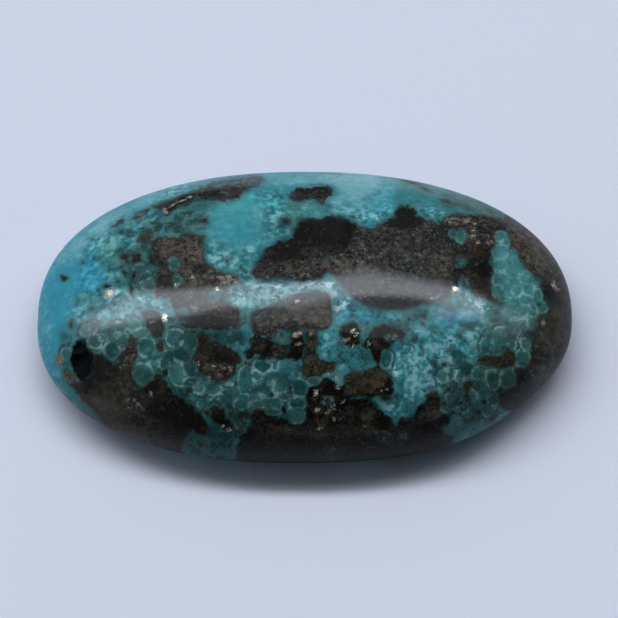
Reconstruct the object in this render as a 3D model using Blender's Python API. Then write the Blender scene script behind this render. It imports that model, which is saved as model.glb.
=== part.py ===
"""A polished oval cabochon of turquoise in dark, pyrite-bearing matrix, lying on its flat back.

Metres, +Z up. The origin is the middle of the flat back, +X runs along the stone and +Y across it.
The stone is one natural piece, so it is one closed solid with one object and one material.
"""

import math

import bmesh
import bpy
from mathutils import Matrix, Vector

# Driving dimensions, in metres
HALF_LENGTH = 0.01497  # from the middle to either end of the widest section
HALF_WIDTH = 0.00915  # from the middle to either side of the widest section
GIRDLE_HEIGHT = 0.00175  # the widest section, above the flat back
DOME_HEIGHT = 0.00440  # the crown, above the widest section
BACK_SHARE = 0.695  # the flat back's outline, as a share of the widest section
OUTLINE_POWER = 2.25  # 2 would be an ellipse: this one is a little squarer at its shoulders
MIDDLE_Y = 0.000034  # the widest section sits this far off the origin

# How the hand-cut outline departs from an even oval
FRONT_FULLNESS = 0.0065  # the -Y side is wider by this share
FRONT_LEFT_FULLNESS = 0.0147  # and the shoulder towards -X and -Y by this one
FLAT_ANGLE = math.radians(-45.7)  # the ground flat on the shoulder towards +X and -Y faces this way
FLAT_REACH = 0.01261  # from the middle to that flat
FLAT_SOFTNESS = 0.000505  # over which the flat blends into the round outline

# The natural hollow in the dome, left open by the polish
PIT_PLACE = (-0.01234, -0.00385)  # X and Y of its middle
PIT_LOBES = (  # offset along X and Y, radius across, radius up the slope, depth
    (0.00000, 0.00000, 0.00056, 0.00074, 0.00034),
    (-0.00012, 0.00078, 0.00034, 0.00044, 0.00022),
    (0.00022, -0.00046, 0.00046, 0.00050, 0.00026),
)
PIT_SEGMENTS = 14

# Fineness of the mesh
SEGMENTS_ROUND = 88
RINGS_POLE_TO_POLE = 44

TEAL = (0.075, 0.300, 0.330, 1.0)


def clear_scene():
    for item in list(bpy.data.objects):
        bpy.data.objects.remove(item, do_unlink=True)


def stone_material():
    material = bpy.data.materials.new("turquoise_in_matrix")
    material.diffuse_color = TEAL
    material.use_nodes = True
    shader = material.node_tree.nodes["Principled BSDF"]
    shader.inputs["Base Color"].default_value = TEAL
    shader.inputs["Roughness"].default_value = 0.18
    shader.inputs["Metallic"].default_value = 0.0
    return material


def shoulder_bulge(x, y):
    """How far the outline stands outside an ellipse, in the direction x, y from the middle."""
    reach = math.hypot(x, y)
    if reach < 1e-9:
        return 1.0
    corner = abs(x / reach) ** OUTLINE_POWER + abs(y / reach) ** OUTLINE_POWER
    return corner ** (-1.0 / OUTLINE_POWER)


def ground_flat(x, y):
    """Presses a point that stands past the flat on the +X, -Y shoulder back onto it, softly."""
    facing = Vector((math.cos(FLAT_ANGLE), math.sin(FLAT_ANGLE)))
    reach = facing.x * x + facing.y * y
    past = (FLAT_REACH - reach) / FLAT_SOFTNESS
    if past > 12:
        return x, y
    pressed = FLAT_REACH - FLAT_SOFTNESS * math.log1p(math.exp(past))
    return x + facing.x * (pressed - reach), y + facing.y * (pressed - reach)


def on_stone(x, y, z):
    """The stone's surface point for a point of the unit sphere, flat back not yet cut."""
    bulge = shoulder_bulge(x, y)
    wide = HALF_WIDTH * (1.0 + FRONT_FULLNESS) if y < 0 else HALF_WIDTH
    front_left = 2.0 * max(-x, 0.0) * max(-y, 0.0)
    full = 1.0 + FRONT_LEFT_FULLNESS * front_left
    across_x, across_y = ground_flat(HALF_LENGTH * bulge * full * x, wide * bulge * full * y)
    under_reach = GIRDLE_HEIGHT / math.sqrt(1.0 - BACK_SHARE**2)
    height = (DOME_HEIGHT if z > 0 else under_reach) * z
    return Vector((across_x, across_y + MIDDLE_Y, GIRDLE_HEIGHT + height))


def dome_height_at(x, y):
    """The dome's height and outward direction over a point of the back, from its ellipse."""
    u, v = x / HALF_LENGTH, (y - MIDDLE_Y) / HALF_WIDTH
    share = abs(u) ** OUTLINE_POWER + abs(v) ** OUTLINE_POWER
    rise = math.sqrt(max(1.0 - share ** (2.0 / OUTLINE_POWER), 1e-6))
    outward = Vector((u / HALF_LENGTH, v / HALF_WIDTH, rise / DOME_HEIGHT)).normalized()
    return GIRDLE_HEIGHT + DOME_HEIGHT * rise, outward


def cabochon(material):
    """The domed oval, from a unit sphere whose underside is cut off flat."""
    form = bmesh.new()
    bmesh.ops.create_uvsphere(
        form, u_segments=SEGMENTS_ROUND, v_segments=RINGS_POLE_TO_POLE, radius=1.0
    )
    for vert in form.verts:
        vert.co = on_stone(*vert.co)
    cut = bmesh.ops.bisect_plane(
        form,
        geom=form.verts[:] + form.edges[:] + form.faces[:],
        dist=1e-7,
        plane_co=(0, 0, 0),
        plane_no=(0, 0, -1),
        clear_outer=True,
    )
    rim = [item for item in cut["geom_cut"] if isinstance(item, bmesh.types.BMEdge)]
    bmesh.ops.edgeloop_fill(form, edges=rim)
    bmesh.ops.recalc_face_normals(form, faces=form.faces[:])
    mesh = bpy.data.meshes.new("turquoise_stone")
    form.to_mesh(mesh)
    form.free()
    mesh.materials.append(material)
    mesh.shade_smooth()
    mesh.set_sharp_from_angle(angle=math.radians(35))
    stone = bpy.data.objects.new("turquoise_stone", mesh)
    bpy.context.collection.objects.link(stone)
    return stone


def pit_cutter():
    """The hollow's lobes: flattened balls sunk to their middles in the dome."""
    form = bmesh.new()
    for along, across, half_x, half_y, depth in PIT_LOBES:
        x, y = PIT_PLACE[0] + along, PIT_PLACE[1] + across
        height, outward = dome_height_at(x, y)
        turn = outward.to_track_quat("Z", "Y").to_matrix().to_4x4()
        place = Matrix.Translation((x, y, height)) @ turn
        size = Matrix.Diagonal((half_x, half_y, depth, 1.0))
        bmesh.ops.create_uvsphere(
            form,
            u_segments=PIT_SEGMENTS,
            v_segments=PIT_SEGMENTS // 2,
            radius=1.0,
            matrix=place @ size,
        )
    mesh = bpy.data.meshes.new("pit_cutter")
    form.to_mesh(mesh)
    form.free()
    cutter = bpy.data.objects.new("pit_cutter", mesh)
    bpy.context.collection.objects.link(cutter)
    cutter.hide_render = True
    cutter.display_type = "WIRE"
    return cutter


def open_pit(stone):
    """Cuts the natural hollow into the stone."""
    cut = stone.modifiers.new("natural_pit", "BOOLEAN")
    cut.operation = "DIFFERENCE"
    cut.solver = "EXACT"
    cut.use_self = True
    cut.object = pit_cutter()


def main():
    clear_scene()
    stone = cabochon(stone_material())
    open_pit(stone)


main()
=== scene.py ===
"""Dresses the turquoise cabochon: its surface and mineral pattern, the floor, light and camera."""

import math

import bpy
import numpy as np
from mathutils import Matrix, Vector


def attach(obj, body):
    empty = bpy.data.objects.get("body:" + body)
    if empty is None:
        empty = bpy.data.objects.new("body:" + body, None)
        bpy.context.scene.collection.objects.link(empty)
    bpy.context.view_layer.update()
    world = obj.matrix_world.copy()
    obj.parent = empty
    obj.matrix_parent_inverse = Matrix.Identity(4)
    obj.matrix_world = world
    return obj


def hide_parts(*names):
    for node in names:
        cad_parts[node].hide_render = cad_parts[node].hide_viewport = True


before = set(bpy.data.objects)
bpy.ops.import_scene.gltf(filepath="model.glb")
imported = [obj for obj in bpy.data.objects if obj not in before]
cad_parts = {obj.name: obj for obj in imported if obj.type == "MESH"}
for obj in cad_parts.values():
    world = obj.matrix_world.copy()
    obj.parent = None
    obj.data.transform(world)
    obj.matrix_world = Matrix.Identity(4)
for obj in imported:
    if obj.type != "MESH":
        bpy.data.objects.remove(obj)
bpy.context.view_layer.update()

MM = 0.001

# The stone's form, in metres, as its source has it
HALF_LENGTH = 14.97 * MM
HALF_WIDTH = 9.15 * MM
GIRDLE_HEIGHT = 1.75 * MM
DOME_HEIGHT = 4.40 * MM
BACK_SHARE = 0.695
OUTLINE_POWER = 2.25
MIDDLE_Y = 0.034 * MM
FRONT_FULLNESS = 0.0065
FRONT_LEFT_FULLNESS = 0.0147
FLAT_ANGLE = math.radians(-45.7)
FLAT_REACH = 12.61 * MM
FLAT_SOFTNESS = 0.505 * MM

# The photograph's frame: the pixel over the middle of the widest section, and the scale there
MIDDLE_PX = (305.0, 317.5)
IMAGE_PX = 618.0
PX_PER_MM = 17.83
CAMERA_ELEVATION = math.radians(60.0)
CAMERA_DISTANCE = 0.300
TO_CAMERA = (0.0, -math.cos(CAMERA_ELEVATION), math.sin(CAMERA_ELEVATION))
CAMERA_UP = (0.0, math.sin(CAMERA_ELEVATION), math.cos(CAMERA_ELEVATION))
SENSOR_MM = 36.0

# Fineness of the visual mesh
GRID_ALONG, GRID_ACROSS = 320, 210
FLANK_RINGS = 20

# The natural hollow in the dome, in metres, as the source has it
PIT_PLACE = (-12.34 * MM, -3.85 * MM)
PIT_LOBES = (  # offset along X and Y, radius across, radius up the slope, depth
    (0.00 * MM, 0.00 * MM, 0.56 * MM, 0.74 * MM, 0.34 * MM),
    (-0.12 * MM, 0.78 * MM, 0.34 * MM, 0.44 * MM, 0.22 * MM),
    (0.22 * MM, -0.46 * MM, 0.46 * MM, 0.50 * MM, 0.26 * MM),
)

# The traced pattern's tones. Grey, the matrix's plain tone, has no field of its own and only erases.
MATRIX_TONES = ("black", "brown", "olive", "rust", "blue", "tan", "beige")
TURQUOISE_TONES = ("pale", "green", "blue_tint", "deep", "dull", "bright", "white")
# Where the borders fade in and out: pixels inside an outline, or shares inside an ellipse
OUTLINE_FADE = (-2.5, 1.5)
SPOT_FADE = (-0.8, 0.1)
ZONE_FADE = (-0.35, 0.5)
MATRIX_FADE = (-0.35, 0.35)
TURQUOISE_FADE = (-0.50, 0.50)
# Where the traced pattern gives way to the made-up one: the cosine between the normal and the camera's way
FRONT_FADE = (-0.30, -0.04)
# How far from an outline its depth is still worked out, in pixels
FAR_PX = 12.0
# Spreads the lumps' numbers evenly between 0 and 1
GOLDEN_SHARE = 0.618

# Shallow dents in the polish, and swells of negative depth, that bend the reflections: the photograph's
# pixel, radii in pixels, depth
DENTS = (
    (396, 316, 57, 20, 0.078 * MM), (284, 256, 44, 20, 0.060 * MM), (196, 262, 40, 18, 0.040 * MM),
    (126, 306, 36, 18, 0.024 * MM), (290, 320, 34, 18, -0.022 * MM), (366, 250, 30, 18, -0.030 * MM),
    (190, 322, 24, 12, -0.012 * MM), (444, 322, 18, 12, -0.012 * MM),
)

# The tables below are in the photograph's pixels. Outlines, spots, lumps and flecks are traced.
# Shades and zones were placed one by one, many of them in answer to measured differences in brightness and
# hue between the render and the photograph. An ellipse is its middle across and down, half width, half
# height, strength where the table says so, and turn in degrees if it has one.

# Outlines of the dark matrix: tone, then the corners as x, y, x, y and so on
MATRIX = (
    ("brown", 112, 226, 125, 218, 123, 222, 116, 227),
    ("brown", 134, 218, 138, 213, 147, 209, 152, 209, 139, 218),
    ("grey", 152, 207, 212, 183, 242, 177, 258, 176, 264, 180, 260, 185, 243, 192, 239, 198, 228, 201,
     214, 199, 200, 200, 192, 202, 176, 209, 166, 217, 161, 212),
    ("grey", 289, 198, 291, 192, 296, 188.5, 323, 185.5, 331, 187, 334, 190, 332, 194, 327, 196, 325, 203,
     322, 206.5, 314, 199.5, 306, 200, 300, 203, 294, 202),
    ("grey", 253, 277, 252, 271, 261, 254, 265, 249, 271, 246, 274, 243, 281, 242, 293, 238, 297, 225,
     301, 220, 304, 219, 319, 220, 329, 215, 333, 219, 338, 220, 343, 217, 347, 218, 350, 222, 354, 223,
     358, 227, 373, 228, 379, 225, 383, 221, 390, 220, 394, 217, 398, 207, 403, 205, 408, 206, 413, 209,
     417, 215, 422, 219, 437, 222, 450, 232, 459, 244, 456, 262, 460, 280, 457, 288, 452, 294, 445, 299,
     424, 305, 404, 309, 392, 310, 380, 309, 370, 307, 361, 303, 355, 299, 345, 289, 334, 275, 328, 272,
     322, 279, 300, 282, 280, 278.5, 261, 279),
    ("black", 258, 272, 258, 262, 265, 250, 276, 242, 291, 240, 297, 226, 304, 219, 320, 219, 330, 215,
     345, 217, 353, 224, 352, 235, 348, 245, 334, 262, 322, 264, 305, 262, 285, 262),
    ("olive", 438, 224, 444, 218, 451, 214, 460, 213, 469, 216, 472, 223, 468, 229, 449, 231, 442, 229),
    ("black", 393, 219, 396, 211, 403, 205, 411, 207, 420, 219, 414, 224, 404, 225),
    ("grey", 252, 312, 285, 300, 300, 293, 312, 291, 322, 291, 328, 295, 332, 303, 333, 315, 331, 325,
     325, 330, 318, 331, 298, 330, 281, 335, 274, 339, 256, 335, 251, 328, 250, 318),
    ("brown", 150, 241, 156, 236, 178, 237, 190, 232, 204, 236, 203, 248, 205, 258, 210, 265, 219, 271,
     238, 276, 239, 282, 224, 292, 224, 300, 240, 311, 241, 325, 236, 329, 210, 326, 203, 330, 197, 326,
     178, 318, 176, 312, 172, 306, 170, 298, 164, 299, 156, 296, 154, 284, 160, 268, 154, 262),
    ("olive", 137, 241, 141, 233, 147, 229, 152, 231, 152, 239, 145, 243),
    ("brown", 119, 255, 124, 252, 129, 254, 128, 260, 121, 260),
    ("brown", 131, 257, 134, 253, 141, 254, 142, 260, 136, 263, 131, 262),
    ("black", 148, 258, 152, 255, 156, 258, 156, 264, 150, 263),
    ("black", 188, 221, 207, 218, 208, 222),
    ("black", 198, 321, 206, 317, 216, 320, 230, 321, 236, 325, 228, 330, 204, 329),
    ("brown", 197, 335, 203, 330, 210, 340, 222, 343, 239, 353, 242, 360, 237, 367, 237, 375, 229, 380,
     219, 383, 208, 380, 200, 373, 192, 369, 193, 358, 196, 348),
    ("black", 143, 312, 150, 311, 158, 313, 163, 320, 165, 329, 162, 336, 157, 339, 152, 335, 149, 328,
     145, 324),
    ("black", 249, 340, 256, 335, 264, 336, 270, 339, 277, 340, 284, 346, 289, 345, 288, 356, 282, 360,
     272, 357, 264, 360, 250, 350),
    ("black", 289, 330, 296, 328, 304, 331, 306, 340, 303, 358, 296, 360, 289, 356, 288, 347, 291, 340),
    ("olive", 303, 333, 309, 327, 316, 329, 318, 338, 317, 348, 319, 358, 326, 361, 338, 361, 332, 372,
     326, 372, 318, 378, 308, 380, 302, 374, 302, 362, 306, 342),
    ("black", 341, 328, 352, 321, 358, 325, 361, 331, 361, 339, 359, 345, 354, 349, 347, 345, 342, 340,
     340, 334),
    ("black", 369, 333, 375, 328, 382, 325, 391, 325, 404, 330, 406, 335, 402, 339, 396, 341, 387, 351,
     384, 360, 380, 366, 371, 351, 363, 347, 362, 341, 368, 339),
    ("olive", 346, 374, 354, 370, 362, 372, 378, 364, 382, 369, 389, 372, 393, 380, 394, 390, 390, 396,
     358, 398, 350, 400, 340, 398, 336, 390, 345, 381),
    ("black", 75, 347, 76, 343, 80, 341, 84, 342, 85, 347, 89, 351, 95, 354, 102, 354, 113, 363, 110, 367,
     100, 367, 93, 370, 87, 380, 81, 381, 76, 376, 73, 368, 72, 358),
    ("olive", 66, 374, 68, 383, 86, 381, 93, 372, 100, 367, 112, 366, 120, 361, 127, 340, 131, 335,
     138, 338, 136, 348, 138, 356, 132, 366, 134, 378, 141, 386, 150, 386, 156, 379, 163, 378, 173, 393,
     196, 408, 200, 417, 204, 422, 200, 428, 190, 431, 184, 438, 182, 446, 186, 470, 150, 470, 110, 440,
     103, 423, 97, 415, 79, 396, 70, 384),
    ("black", 209, 409, 216, 406, 223, 409, 227, 417, 233, 425, 231, 432, 217, 424, 211, 417),
    ("black", 230, 480, 240, 436, 248, 430, 252, 421, 248, 413, 264, 410, 280, 418, 286, 419, 292, 424,
     300, 424, 308, 417, 312, 408, 301, 400, 302, 393, 318, 382, 330, 376, 340, 386, 345, 396, 360, 397,
     368, 396, 396, 424, 401, 419, 408, 418, 414, 413, 418, 406, 424, 401, 427, 394, 436, 391, 441, 397,
     441, 408, 436, 416, 446, 414, 453, 418, 448, 424, 441, 427, 444, 434, 454, 436, 452, 444, 430, 460,
     380, 480, 300, 490),
    ("brown", 458, 222, 462, 216, 470, 214, 500, 218, 507, 224, 508, 230, 500, 231, 496, 238, 495, 246,
     491, 252, 490, 262, 493, 272, 490, 282, 499, 302, 507, 306, 500, 309, 492, 302, 482, 297, 474, 297,
     470, 290, 462, 286, 456, 262, 460, 244, 466, 240, 467, 232),
    ("grey", 503, 221, 508, 230, 511, 250, 537, 281, 549, 309, 545, 314, 539, 315, 534, 329, 527, 332,
     525, 336, 531, 338, 530, 363, 525, 369, 517, 367, 515, 375, 516, 384, 510, 389, 502, 392, 497, 398,
     499, 404, 505, 409, 520, 414, 560, 390, 590, 320, 585, 260, 550, 220, 515, 205, 507, 212),
    ("olive", 478, 358, 485, 356, 495, 357, 500, 350, 508, 348, 514, 352, 517, 358, 514, 365, 506, 369,
     490, 366, 478, 362),
    ("olive", 463, 381, 471, 379, 473, 384, 467, 391, 463, 390),
)

# Small spots of matrix: tone, then ellipses
SPOTS = (
    ("black", (64, 278.5, 3.2, 2.4, 20), (107, 286.5, 3.2, 2.2), (84, 262, 1.5, 1.2),
     (124, 273, 1.5, 4.5, -30), (134, 275, 1.6, 6.5, 20), (131.5, 290, 1.8, 6, -15), (228, 260.5, 1.2, 1.4),
     (408.5, 318.5, 2.2, 2, 30), (424, 317, 1.7, 2.2), (422.5, 323, 1, 2, -35), (443.8, 363.5, 1.5, 1.4),
     (467, 397, 2.6, 5, 15), (484, 401, 3.2, 2.6), (452.5, 413, 1.8, 2.2), (291, 391, 1.6, 4.4),
     (284, 410, 2.2, 5.2, -20), (260, 359.5, 2.6, 1.2), (449, 389, 2.2, 3.4, 20), (472, 405, 2.2, 2.6),
     (207, 413, 2, 1.6), (379, 359, 3.5, 5), (166, 372, 2.6, 6, 10), (158, 377, 3, 2.4), (540, 305, 3, 2.4),
     (101, 369, 13, 8), (151, 384, 6, 4), (200, 428, 10, 6, 20), (380, 355, 7, 8), (312, 414, 8, 9),
     (190, 325, 9, 3), (250, 354, 5, 5), (291, 355, 5, 5), (478, 412, 2, 2.4), (445, 404, 1.6, 1.8),
     (191, 412, 10, 3, 48), (203, 423, 8, 2.6, 50), (403, 221, 14, 6), (411, 212, 7, 4, 30),
     (199, 417, 9, 4, 50), (88, 382, 5, 5)),
    ("olive", (92, 309, 1.8, 1.8), (71.5, 324, 1.8, 3.4, 10), (285.5, 221, 4.5, 2.6, 20),
     (446, 201, 4.5, 1.6, 15), (407, 324, 1.8, 3.5, -15), (411, 182, 10, 1.8, 17), (425, 189, 6, 1.4, 26),
     (437, 413, 3, 3.5), (459, 397, 2, 2), (252, 398, 2.5, 1.4, 20), (258, 402, 2.2, 1.6, -20),
     (268, 388, 1.6, 3.2, 30), (243, 415, 5, 3, 10), (189, 390, 3.2, 2.4), (121, 357, 4.5, 2.5, -35),
     (509, 350, 2.5, 4.5, 30), (386, 398, 5, 3, 10), (214, 347, 5, 3)),
    ("brown", (496, 320, 3.5, 2.2), (497, 312, 2.6, 3, 30), (501, 390, 3, 2), (262, 414, 9, 4.5, 5),
     (160, 346, 3.4, 5.5), (131, 345, 3.5, 6), (235, 319, 6, 5), (495, 297, 1.6, 6, -30),
     (504, 303, 4.5, 1.3, -10), (541, 318, 3, 4), (520, 371, 4.5, 3), (458, 253, 3, 9)),
    ("beige", (60, 361, 3.6, 5.6), (67.5, 375, 3.6, 6.5, -25), (76, 378, 3, 4.4)),
    ("black", (458, 275, 3, 9),),
)

# Shades inside the matrix, over the outlines' own tones: tone, then ellipses with strengths. The tan, beige,
# grey and blue shades along the upper edge of the bright band, near y 262 to 281, lighten the matrix partly
# for its own paler grains and partly as painted highlight where the lamps' reflection lies. The black
# shades along the bottom rim, near y 420 to 460, are partly painted shade.
MATRIX_SHADES = (
    ("black", (130, 432, 44, 7, .6, 22), (205, 453, 55, 6, .6, 8), (444, 236, 15, 11, .4, 30),
     (312, 192, 22, 8, .45, -5), (162, 286, 9, 14, .3), (160, 262, 5, 9, .7, -30), (206, 318, 22, 3, .7, 4),
     (215, 322, 17, 5, .9), (226, 357, 10, 7, .7), (199, 364, 5, 4, .9), (389, 386, 4.4, 9, 1),
     (383, 391, 9, 4, .9), (340, 389, 5, 9, .8), (83, 360, 12, 20, 1), (173, 405, 26, 20, .9, 20),
     (477, 254, 13, 17, .55), (482, 284, 6, 9, .4), (537, 283, 4.5, 16, 1, -25), (546, 292, 7, 9, .75),
     (525, 380, 9, 9, .5), (520, 392, 10, 7, .55, -40), (214, 350, 18, 9, .5), (370, 399, 9, 6, .7),
     (350, 226, 9, 9, .6), (218, 356, 12, 9, .3)),
    ("beige", (449, 297, 8, 4, .45, -25), (181, 201, 11, 2.8, .75, -28), (165, 211, 4, 2.6, .9, -30),
     (141, 214, 4, 1.4, .7, -20), (205, 300, 28, 14, .08), (224, 371, 8, 5.5, .2), (153, 324, 3.6, 3.6, .3),
     (297, 334, 6, 2.6, .6, -15), (299, 343, 4, 1.6, .7), (312, 331, 4, 4, .4), (346, 338, 4, 2, .45, 25),
     (366, 343, 5, 3, .14), (126, 364, 9, 5, .16, -20), (229, 430, 3, 3, .6),
     (342, 413.5, 4.8, 4.4, .75, 30), (336, 418, 6, 3, .25), (441, 420, 12, 5, .1, -15),
     (470, 222, 9, 5, .45, 20), (544.5, 323, 2.8, 3, 1, 30), (556, 286, 6, 4, .25, 40),
     (255, 316, 4, 3, .2), (453, 221, 11, 5, .15)),
    ("olive", (340, 431, 44, 7, .5), (186, 319, 10, 3.4, .6, 8), (258, 344.5, 7.6, 7.2, 1),
     (279.5, 350, 7.8, 7, 1), (374, 340, 6, 5, .6), (105, 393, 34, 22, .55, 15), (150, 390, 13, 8, .7),
     (255, 422, 14, 6, .5), (315, 413, 11, 9, .8), (433, 402, 8, 10, 1), (448, 437, 6, 4, .6),
     (430, 301, 26, 3, .7, -8)),
    ("tan", (527, 250, 14, 20, .4, 35), (545, 372, 12, 10, .4, 30), (515, 392, 12, 7, .4, -30),
     (312, 314, 30, 14, .8), (230, 281, 11, 7, .9), (470, 436, 30, 6, .2, -16), (186, 252, 18, 12, .35),
     (410, 276, 30, 4, .3, 4), (270, 325, 11, 6, .6), (205, 279, 34, 9, .7), (160, 280, 8, 10, .5),
     (130, 353, 6, 12, .8)),
    ("black", (479, 228, 1.8, 11, .9, -12), (534, 271, 3, 9, .9, -35), (100, 370, 15, 12, .9),
     (88, 388, 14, 8, .6, 30), (176, 206, 14, 1.6, .9, -28), (510, 400, 14, 10, .4, -30),
     (70, 370, 9, 9, .4), (72, 372, 8, 10, .6, -20), (232, 431, 8, 6, .5), (172, 298, 12, 10, .25)),
    ("beige", (133, 404, 6.5, 6.5, .45, 20), (142, 408, 3.6, 5, .3), (150.5, 395, 2.2, 5, .8),
     (330, 410, 6, 5, .4), (317, 410, 3, 2, .4, -30), (485, 236, 5, 4, .2), (440, 297, 16, 1.8, .6, -8),
     (67, 375, 3, 7, .9, -25), (76.5, 377, 2.4, 5, .7, -20), (230, 279, 13, 5, .45)),
    ("grey", (300, 257, 40, 9, .2), (151, 315, 7, 4, 1), (357, 336, 3.4, 3, 1), (393, 338, 9, 4.4, 1, -5),
     (378, 350, 8, 5, .6, 30), (134, 412, 5.5, 3, 1), (300, 440, 60, 14, .3), (403, 437, 7, 4, .8, -10),
     (330, 455, 12, 8, .6), (462, 262, 6, 6, 1)),
    ("black", (285, 266, 30, 9, .5, -10), (128, 422, 13, 9, .75, 15), (352, 409, 17, 12, .9),
     (455, 270, 5, 8, .5), (300, 240, 28, 14, .9), (150, 402, 26, 12, .4, 25), (184, 412, 30, 12, .6, 25),
     (370, 354, 9, 6, .6), (150, 386, 10, 7, .7)),
    ("brown", (268, 262, 10, 14, .35, 20), (347, 331, 3, 3, .9), (216, 412, 7, 5, .6),
     (262, 416, 16, 5, .5, 8), (322, 421, 6, 7, 1), (350, 413, 8, 9, .5), (418, 420, 12, 6, .5),
     (522, 240, 15, 20, .75, 30), (551, 335, 10, 14, .7), (300, 428, 20, 6, .4)),
    ("tan", (522, 236, 12, 12, .6, 35), (540, 255, 16, 26, .6, 35), (553, 328, 12, 22, .55, 5),
     (430, 414, 10, 7, .6), (450, 266, 8, 6, .5), (110, 370, 8, 6, .4), (531, 400, 12, 6, .7, -35),
     (210, 430, 10, 6, .5), (478, 220, 16, 5, .4, 20), (440, 264, 14, 12, .5)),
    ("blue", (222, 188, 22, 5.5, .75, -14), (250, 183, 14, 4, .6, -8), (205, 196, 14, 5, .5, -20),
     (327, 400, 7, 6, .9), (466, 283, 7, 9, .6), (533, 378, 4.5, 6, .3), (180, 236, 20, 7, .3, -8),
     (391, 336, 7, 4, .7), (440, 198, 34, 12, .35, 25)),
    ("grey", (300, 270, 44, 9, .5), (225, 189, 12, 2.6, 1, -14), (240, 186, 8, 2.2, .7, -10),
     (205, 190, 9, 2.4, .8, -20), (150, 436, 50, 8, .25, 14), (332, 252, 12, 8, .5), (310, 251, 10, 5, .7)),
    ("tan", (318, 267, 36, 7, .4), (105, 414, 44, 14, .6, 28), (260, 270, 12, 7, .3),
     (340, 264, 60, 8, .35), (290, 266, 12, 6, .4), (132, 443, 16, 6, .7, 22), (368, 262, 36, 9, .6),
     (178, 250, 24, 18, .55)),
    ("black", (172, 433, 18, 10, .45), (331, 390, 9, 5, 1), (314, 393, 9, 6, 1),
     (188, 195.5, 12, 1.6, .9, -25), (360, 400, 16, 6, .9), (550, 303, 8, 10, .4), (290, 415, 24, 5, .5),
     (195, 267, 12, 5, .7, 20)),
    ("olive", (200, 195, 8, 1.6, .8, -15), (368, 416, 8, 9, 1, 20), (300, 434, 22, 5, .4, 10),
     (460, 275, 4, 6, .5)),
    ("tan", (150, 438, 50, 8, .5, 14), (270, 430, 12, 6, .4), (187, 262, 34, 20, .4), (190, 264, 10, 8, .5)),
    ("black", (385, 425, 16, 7, .7), (150, 420, 12, 12, .4), (212, 196, 9, 9, .5)),
    ("blue", (384, 437, 13, 7, .55, 15), (355, 262, 56, 9, .25)),
    ("rust", (477, 252, 11, 13, .85), (552, 322, 6, 9, .5)),
    ("beige", (473, 235, 5, 5.5, .3), (490.5, 243, 4.5, 2.8, .8, 10), (478, 242.5, 1.6, 1.6, .6),
     (473, 253, 1.8, 1.8, .5)),
    ("black", (486, 268, 8, 10, .95, 10),),
    ("brown", (398, 430, 12, 6, .35),),
    ("blue", (405, 430, 14, 6, .3),),
    ("grey", (355, 262, 56, 9, .35),),
    ("olive", (370, 430, 8, 5, .6),),
    ("rust", (480, 252, 9, 9, .8),),
    # Painted highlight along the upper edge of the bright band
    ("tan", (345, 267, 34, 4, .8),),
)
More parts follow.
